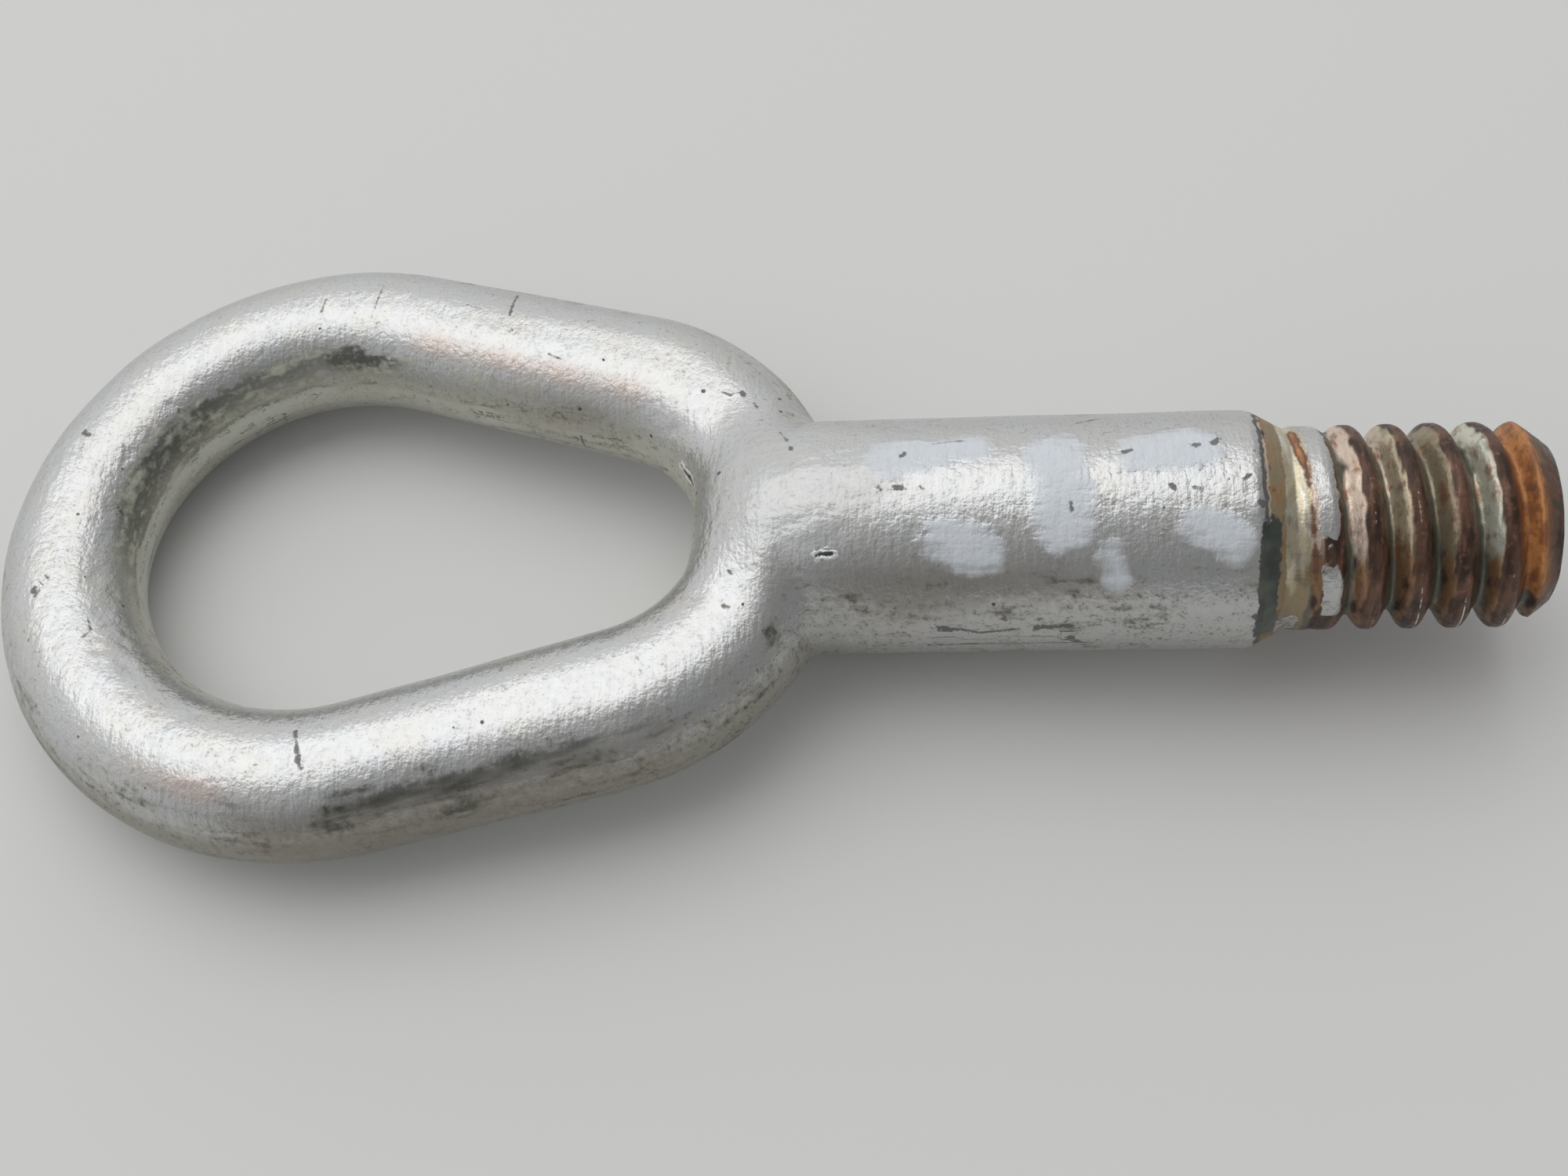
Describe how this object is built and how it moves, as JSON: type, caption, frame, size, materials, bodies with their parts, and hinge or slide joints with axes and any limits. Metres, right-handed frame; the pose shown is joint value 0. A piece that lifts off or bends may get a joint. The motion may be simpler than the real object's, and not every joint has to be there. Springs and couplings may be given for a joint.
{
  "type": "tow eye",
  "caption": "Forged screw-in tow eye with a pear-shaped loop, a round shank, a conical seat and a coarse threaded stud.",
  "frame": {"origin": "on the stud's axis, at the foot of the conical seat where the stud starts", "axes": "+X along the stud, away from the eye; +Z square to the plane of the eye; +Y across the eye"},
  "size_m": [0.1523, 0.0674, 0.023],
  "materials": {
    "painted_steel": "satin"
  },
  "bodies": {
    "root": {"tow_eye": "painted_steel"}
  },
  "joints": []
}
